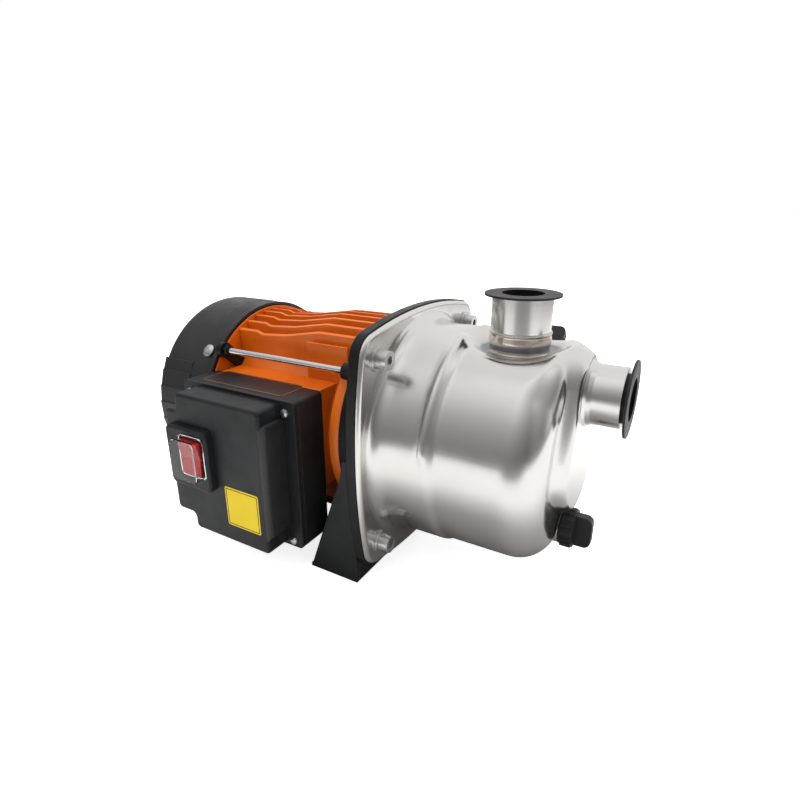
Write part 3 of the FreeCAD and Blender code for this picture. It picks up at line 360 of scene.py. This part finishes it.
def turned_piece(name, profile, place, segments, body, look):
    """A ring swept from (along, radius) points; place maps angle, along and radius into the frame."""
    bm = bmesh.new()
    rows = []
    for index in range(segments):
        angle = 2 * math.pi * index / segments
        rows.append([bm.verts.new(place(angle, along, radius)) for along, radius in profile])
    bridge_round(bm, rows)
    bmesh.ops.recalc_face_normals(bm, faces=bm.faces)
    mesh_piece(name, bm, body, look)


def about_motor(angle, along, radius):
    y, z = polar(radius, angle)
    return (along, y, AXIS + z)


def about_inlet(angle, along, radius):
    y, z = polar(radius, angle)
    return (along, y, AXIS + INLET_HIGH + z)


def about_outlet(angle, along, radius):
    x, y = polar(radius, angle)
    return (OUTLET_X + x, y, AXIS + along)


# Labels, left bare
def rounded_corners(low, high, radius, steps=6):
    """Outline of a rectangle with round corners."""
    left, bottom = (value + radius for value in low)
    right, top = (value - radius for value in high)
    points = []
    for u, v, start in ((right, top, 0), (left, top, 90), (left, bottom, 180), (right, bottom, 270)):
        for index in range(steps + 1):
            across, up = polar(radius, math.radians(start + 90 * index / steps))
            points.append((u + across, v + up))
    return points


def cut_corners(low, high, cut):
    """Outline of a rectangle with its corners cut off."""
    (left, bottom), (right, top) = low, high
    return [(left, bottom + cut), (left + cut, bottom), (right - cut, bottom), (right, bottom + cut),
            (right, top - cut), (right - cut, top), (left + cut, top), (left, top - cut)]


def label_plate(name, outline, to_world, look):
    """A thin plate with a softened rim, from an outline and a map from its plane into the frame."""
    bm = bmesh.new()
    middle = [sum(values) / len(outline) for values in zip(*outline)]
    rings = []
    for height, inset in ((0.0, 0.0), (LABEL_THICK * 0.7, 0.0), (LABEL_THICK, LABEL_THICK * 0.6)):
        ring = []
        for u, v in outline:
            du, dv = middle[0] - u, middle[1] - v
            length = math.hypot(du, dv)
            ring.append(bm.verts.new(to_world(u + du / length * inset, v + dv / length * inset, height)))
        rings.append(ring)
    bridge_stack(bm, rings)
    bmesh.ops.recalc_face_normals(bm, faces=bm.faces)
    mesh_piece(name, bm, "frame", look, smooth=False)


def make_labels():
    lid_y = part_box("terminal_box_cover")[0][1]
    low, high = (-0.0893, AXIS - 0.061), (-0.0565, AXIS - 0.029)
    yellow = framed_label("look_yellow_label", (0.90, 0.66, 0.012), (0.03, 0.025, 0.01),
                          low, high, 0.0007, "XZ")
    label_plate("side_label", rounded_corners(low, high, 0.0016), lambda u, v, out: (u, lid_y - out, v),
                yellow)
    top_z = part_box("terminal_box_base")[1][2]
    low, high = (-0.135, -0.0925), (-0.052, -0.0655)
    dark = framed_label("look_dark_label", (0.016, 0.016, 0.018), (0.30, 0.12, 0.03),
                        low, high, 0.0006, "XY")
    label_plate("rating_label", cut_corners(low, high, 0.004), lambda u, v, out: (u, v, top_z + out),
                dark)


# Painted skirt over the rear of the bell
def make_skirt():
    rear, front, inner, outer = -0.0254, -0.0174, 0.0745, 0.0754
    turned_piece("bell_skirt", [
        (rear, inner), (rear, outer - 0.0003), (rear + 0.0004, outer), (front - 0.0004, outer),
        (front, outer - 0.0003), (front, inner)],
        about_motor, 128, "frame", LOOKS["orange_paint"])


# Weld bead under the outlet tube, and the short neck that flares out to the casing
def make_neck():
    bead = [(0.0845, 0.0204), (0.0847, 0.0210), (0.0843, 0.0215), (0.0837, 0.0217), (0.0831, 0.0215),
            (0.0826, 0.02115)]
    waist = [(0.0815, 0.02115), (0.0790, 0.0215), (0.0770, 0.0215), (0.0752, 0.0210), (0.0735, 0.0207),
             (0.0720, 0.0208)]
    flare = [(0.0708, 0.0212), (0.0698, 0.0219), (0.0690, 0.0229), (0.0675, 0.0235), (0.0660, 0.0235),
             (0.0660, 0.0204)]
    turned_piece("outlet_neck", bead + waist + flare, about_outlet, 96,
                 "frame", neck_steel)


# Painted shade: near-black, dull cups inside both transport caps, darker than the cap rubber
def make_cap_shades():
    plate, bore = 0.0015, 0.01452
    outlet_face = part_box("outlet_cap")[1][2] - AXIS - plate
    inlet_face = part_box("inlet_cap")[1][0] - plate
    for name, place, face, body in (("outlet_cap_shade", about_outlet, outlet_face, "outlet_cover"),
                                    ("inlet_cap_shade", about_inlet, inlet_face, "inlet_cover")):
        mouth, bottom = face + 0.0014, face - 0.0076
        turned_piece(name, [
            (mouth, bore), (mouth, bore - 0.00007), (bottom, bore - 0.00012), (bottom - 0.0001, 0.0),
            (bottom - 0.0004, 0.0), (bottom - 0.0004, bore)], place, 64, body, cap_shade_look)


# Pressed casing: soft neck, beads that run out, a flat seat under the outlet and a smooth raised front
NECK_CURVE = [(0.0139, 0.0905), (0.0143, 0.0880), (0.0153, 0.0860), (0.0170, 0.0843), (0.0195, 0.0831),
              (0.0225, 0.08245), (0.0260, 0.0821), (0.0300, BELLY_RADIUS)]
BELLY_RUN = [(x, BELLY_RADIUS) for x in (
    0.0350, 0.0400, 0.0450, 0.0490, 0.0503, 0.0515, 0.0527, 0.0539, 0.0551)]
STEP_END = 0.0630
STEP_CURVE = [(0.0563, 0.0819), (0.0572, 0.08165), (0.0582, 0.0812), (0.0592, 0.0807), (0.0602, 0.0803),
              (0.0614, 0.0801), (STEP_END, SHELL_RADIUS)]
BEAD_X, BEAD_HALF_WIDTH, BEAD_RISE = 0.0530, 0.0042, 0.0016
FLANGE_END = 0.0142


def ease(value):
    """From 0 to 1 with level ends."""
    value = min(1.0, max(0.0, value))
    return value * value * (3 - 2 * value)


def slab_gap(y, z):
    """Distance outside the raised front, which is the hull of a circle round the inlet and a larger one."""
    top, top_z = 0.0275, INLET_HIGH
    low, low_z = 0.041, -0.001
    span = top_z - low_z
    lean = (low - top) / span
    run = math.sqrt(1 - lean * lean)
    across, up = abs(y), z - low_z
    along = -lean * across + run * up
    if along < 0:
        return math.hypot(across, up) - low
    if along > run * span:
        return math.hypot(across, up - span) - top
    return across * run + up * lean - low


def front_level(y, z):
    """Place of the front along the axis; the slope to its raised part is wide at the top, steep below."""
    face, rise, inside = 0.12915, 0.0087, 0.004
    steep, wider, turn_low, turn_reach = 0.0005, 0.0095, -0.035, 0.030
    slope = steep + wider * ease((z - turn_low) / turn_reach)
    return face + rise * ease((slope - slab_gap(y, z)) / (slope + inside))


def nose_of(angle):
    """Radius between shell and front, which is smallest at the top."""
    smallest, larger, start, reach = 0.012, 0.012, 22, 25
    tilt = abs(math.degrees(angle) - 90)
    return smallest + larger * ease((tilt - start) / reach)


def bead_of(angle):
    """Height of the pressed bead, which runs on both sides from just above the middle to near the top."""
    start, end, run_out = 3, 84, 7
    side = math.degrees(math.asin(math.sin(angle)))
    return BEAD_RISE * ease((side - start) / run_out) * ease((end - side) / run_out)


def skin_profile(angle):
    """Points (x, radius) of the casing's outside, from the flange to the middle of the front."""
    shell_steps, nose_steps, front_steps = 30, 14, 39
    bead, nose = bead_of(angle), nose_of(angle)
    points = []
    for x, radius in NECK_CURVE + BELLY_RUN + STEP_CURVE:
        off = min(1.0, abs(x - BEAD_X) / BEAD_HALF_WIDTH)
        points.append((x, radius + bead * max(0.0, math.cos(off * math.pi / 2)) ** 1.5))

    def level(radius):
        return front_level(*polar(radius, angle))

    start = level(SHELL_RADIUS) - nose
    for index in range(1, shell_steps + 1):
        points.append((STEP_END + (start - STEP_END) * index / shell_steps, SHELL_RADIUS))
    for index in range(1, nose_steps + 1):
        in_from_shell, ahead = polar(nose, math.pi / 2 * index / nose_steps)
        radius = SHELL_RADIUS - nose + in_from_shell
        points.append((level(radius) - nose + ahead, radius))
    for index in range(1, front_steps + 1):
        radius = (SHELL_RADIUS - nose) * (1 - index / front_steps)
        points.append((level(radius), radius))
    return points


def seat_height(x, y, z):
    """Height of the crown after it is pressed flat round the outlet tube."""
    if z < 0:
        return z
    flat, soft, start, reach = 0.0705, 0.0030, 0.023, 0.019
    share = 1 - ease((math.hypot(x - OUTLET_X, y) - start) / reach)
    return z - share * soft * math.log1p(math.exp((z - flat) / soft))


def in_hole(middle):
    """Whether a face lies where a tube or the seat of a plug goes through."""
    outlet_hole, inlet_hole, plug_hole = 0.0165, 0.0150, 0.0128
    crown, front, shoulder = 0.05, 0.126, 0.04
    x, y, z = middle.x, middle.y, middle.z - AXIS
    if z > crown and math.hypot(x - OUTLET_X, y) < outlet_hole:
        return True
    if x > front and math.hypot(y, z - INLET_HIGH) < inlet_hole:
        return True
    if x > front and math.hypot(y, z - DRAIN_HIGH) < plug_hole:
        return True
    slant = math.sqrt(0.5)
    return (y + z) * slant > shoulder and math.hypot(x - FILLER_X, (y - z) * slant) < plug_hole


def make_skin():
    segments = 360
    bm = bmesh.new()
    rows = []
    for index in range(segments):
        angle = 2 * math.pi * index / segments
        row = []
        for x, radius in skin_profile(angle):
            y, z = polar(radius, angle)
            row.append(bm.verts.new((x, y, AXIS + seat_height(x, y, z))))
        rows.append(row)
    bridge_round(bm, rows, closed=False)
    bmesh.ops.remove_doubles(bm, verts=bm.verts, dist=1e-6)
    bmesh.ops.recalc_face_normals(bm, faces=bm.faces)
    holes = [face for face in bm.faces if in_hole(face.calc_center_median())]
    bmesh.ops.delete(bm, geom=holes, context="FACES")
    piece = mesh_piece("casing_skin", bm, "frame", tint_and_shade_steel)
    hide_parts("pump_casing")


def make_flange():
    """The flange itself, copied from the casing's own faces."""
    bm = bmesh.new()
    bm.from_mesh(frame["nodes"]["pump_casing"].data)
    beyond = [face for face in bm.faces if face.calc_center_median().x > FLANGE_END]
    bmesh.ops.delete(bm, geom=beyond, context="FACES")
    mesh_piece("casing_flange", bm, "frame", tint_and_shade_steel, sharp=32)


# Stepped ridges low on both sides of the fan cover
def make_ridges():
    edges = (31, 24, 14.5, 5, -5, -15, -25)
    base, crest = 0.0838, 0.0847
    bm = bmesh.new()
    for side in (-1, 1):
        for top, low in zip(edges, edges[1:]):
            profile = ((low, base), (low + 0.3, base + 0.0002), (top - 0.6, crest),
                       (top - 0.2, crest - 0.0001), (top, base))
            rows = []
            for x in (-0.1985, -0.1650):
                row = []
                for angle, radius in profile:
                    y, z = polar(radius, math.radians(angle))
                    row.append(bm.verts.new((x, side * y, AXIS + z)))
                rows.append(row)
            rear, front = rows
            bridge(bm, rear, front)
            bm.faces.new(rear)
            bm.faces.new(list(reversed(front)))
    bmesh.ops.recalc_face_normals(bm, faces=bm.faces)
    mesh_piece("cover_ridges", bm, "frame", LOOKS["cover_plastic"], smooth=False)


# Right shoulder of the lid between the two screw pockets
def make_shoulder():
    left, right, low, high = -0.0520, -0.0462, AXIS - 0.0640, AXIS + 0.0255
    outline = [(left, high), (right - 0.0015, high), (right - 0.0004, high - 0.0004),
               (right, high - 0.0015), (right, low + 0.0040), (right - 0.0040, low), (left, low)]
    bm = bmesh.new()
    rings = []
    for y, inset in (
            (-0.0985, 0.0), (-0.1165, 0.0), (-0.1181, 0.0004), (-0.1191, 0.0013), (-0.1196, 0.0028)):
        rings.append([bm.verts.new((min(x, right - inset), y, min(z, high - inset))) for x, z in outline])
    bridge_stack(bm, rings)
    bmesh.ops.remove_doubles(bm, verts=bm.verts, dist=1e-6)
    bmesh.ops.recalc_face_normals(bm, faces=bm.faces)
    mesh_piece("lid_shoulder", bm, "frame", LOOKS["cover_plastic"], sharp=40)


# Painted rear flange of the motor between the fins and the fan cover, left out where the box stands
def make_rear_flange():
    segments, box_side, box_top = 144, -0.064, AXIS + 0.0385
    rear, front, inner, outer, soft = -0.1426, -0.1416, 0.0560, 0.0805, 0.0002
    profile = ((rear, outer), (front - soft, outer), (front, outer - soft), (front, inner), (rear, inner))
    bm = bmesh.new()
    rows = []
    for index in range(segments):
        angle = 2 * math.pi * index / segments
        rows.append([bm.verts.new(about_motor(angle, along, radius)) for along, radius in profile])
    for here, there in zip(rows, rows[1:] + rows[:1]):
        edge = here[1].co
        if edge.y > box_side or edge.z > box_top:
            bridge(bm, here, there)
    bmesh.ops.recalc_face_normals(bm, faces=bm.faces)
    mesh_piece("rear_flange", bm, "frame", LOOKS["orange_paint"], sharp=40)


make_labels()
make_skirt()
make_neck()
make_cap_shades()
make_skin()
make_flange()
make_ridges()
make_shoulder()
make_rear_flange()


# Stage
def floor_look():
    """White paper to the camera; what the steel mirrors carries painted shade: a dark patch towards the
    camera, one to the left, a painted shadow under the pump and a darker floor far off.
    """
    material, tree, shader = new_material("look_floor")
    seen = (add(tree, "ShaderNodeLightPath"), "Is Camera Ray")
    painted_shade = None
    # Painted shade in what the steel mirrors: patches towards the camera and to the left, a shadow under
    # the pump, a darker floor far off
    for middle, near, far, at_near, at_far in (
            ((0.45, -0.95, FLOOR), 0.35, 0.65, 0.25, 1.0), ((-0.95, -0.20, FLOOR), 0.30, 0.60, 0.25, 1.0),
            ((0.06, 0.0, FLOOR), 0.10, 0.24, 0.40, 1.0), ((0.0, 0.0, FLOOR), 1.0, 1.35, 1.0, 0.25)):
        gap = calc(tree, "DISTANCE", object_point(tree), middle, kind=VECTOR)
        shadow_patch = fade(tree, gap, near, far, at_near, at_far, "SMOOTHSTEP")
        painted_shade = calc(tree, "MULTIPLY", painted_shade, shadow_patch) if painted_shade else shadow_patch
    paper = ramp(tree, noise(tree, 2.0), [(0.3, grey(0.93)), (0.7, grey(0.95))])
    # Painted shade: the floor glows for reflected rays only away from the pump, so it is darker near it
    glow_away_from_pump = fade(tree, calc(tree, "LENGTH", object_point(tree), kind=VECTOR), 0.20, 0.75, 0.0, 0.12)
    wire(tree, shader, {
        "Base Color": mix_color(tree, calc(tree, "MAXIMUM", painted_shade, seen), grey(0.0), paper),
        "Roughness": 0.6, "Specular IOR Level": 0.1, "Emission Color": grey(1.0),
        "Emission Strength": calc(tree, "MULTIPLY_ADD", seen, 0.80, glow_away_from_pump)})
    return material


def make_floor():
    reach = 6.0
    bm = bmesh.new()
    corners = ((-reach, -reach), (reach, -reach), (reach, reach), (-reach, reach))
    bm.faces.new([bm.verts.new((x, y, FLOOR)) for x, y in corners])
    mesh = bpy.data.meshes.new("floor")
    bm.to_mesh(mesh)
    bm.free()
    floor = bpy.data.objects.new("floor", mesh)
    bpy.context.scene.collection.objects.link(floor)
    floor.data.materials.append(floor_look())


def make_world():
    """A plain bright studio: dark near the horizon, uneven round its sides, and white to the camera."""
    world = bpy.data.worlds.new("studio")
    bpy.context.scene.world = world
    world.use_nodes = True
    tree = world.node_tree
    tree.nodes.clear()
    split = add(tree, "ShaderNodeSeparateXYZ")
    wire(tree, split, {"Vector": (add(tree, "ShaderNodeTexCoord"), "Generated")})
    height = ramp(tree, (split, "Z"), [
        (0.0, grey(0.26)), (0.18, grey(0.29)), (0.40, grey(0.40)), (0.59, grey(0.55)), (0.80, grey(0.88)),
        (0.93, grey(1.08)), (1.0, grey(1.12))])
    around = calc(tree, "ARCTAN2", (split, "Y"), (split, "X"))
    sides = ramp(tree, calc(tree, "MULTIPLY_ADD", around, 1 / (2 * math.pi), 0.5), [
        (0.0, grey(0.85)), (0.17, grey(1.12)), (0.30, grey(0.85)), (0.41, grey(0.62)), (0.50, grey(1.2)),
        (0.60, grey(0.8)), (0.75, grey(1.0)), (1.0, grey(0.85))])
    front = mix_color(tree, sides, grey(0.0), height)
    behind = fade(tree, (split, "Y"), 0.15, 0.55, curve="SMOOTHSTEP")
    room = add(tree, "ShaderNodeBackground", Strength=1.0)
    wire(tree, room, {"Color": mix_color(tree, behind, front, grey(1.0))})
    white = add(tree, "ShaderNodeBackground", Strength=1.0, Color=grey(1.0))
    seen = (add(tree, "ShaderNodeLightPath"), "Is Camera Ray")
    either = add(tree, "ShaderNodeMixShader")
    wire(tree, either, {0: seen, 1: (room, 0), 2: (white, 0)})
    wire(tree, add(tree, "ShaderNodeOutputWorld"), {"Surface": (either, 0)})


def make_camera():
    """The camera that fits the photograph: its place, its tilt from straight down and its turn."""
    data = bpy.data.cameras.new("camera")
    data.lens = 24.72
    data.sensor_width = 36
    camera = bpy.data.objects.new("camera", data)
    bpy.context.scene.collection.objects.link(camera)
    camera.location = (0.20305, -0.36544, 0.26868)
    camera.rotation_euler = (math.radians(70.31), 0, math.radians(30.19))
    bpy.context.scene.camera = camera


def softbox(name, where, target, size, power):
    """A rectangular lamp that the steel doesn't mirror."""
    data = bpy.data.lights.new(name, "AREA")
    data.shape = "RECTANGLE"
    data.size, data.size_y = size
    data.energy = power
    lamp = bpy.data.objects.new(name, data)
    lamp.visible_glossy = False
    bpy.context.scene.collection.objects.link(lamp)
    lamp.location = where
    lamp.rotation_euler = (Vector(target) - Vector(where)).to_track_quat("-Z", "Y").to_euler()


make_floor()
make_world()
make_camera()
softbox("key", (-0.7, -1.0, 1.2), (0, 0, 0.1), (1.2, 0.9), 6)
softbox("top", (0.1, 0.3, 1.5), (0, 0, 0.1), (1.6, 1.6), 15)
softbox("side", (1.3, -0.3, 0.6), (0.05, 0, 0.1), (0.8, 1.0), 3)
bpy.context.scene.view_settings.view_transform = "Standard"
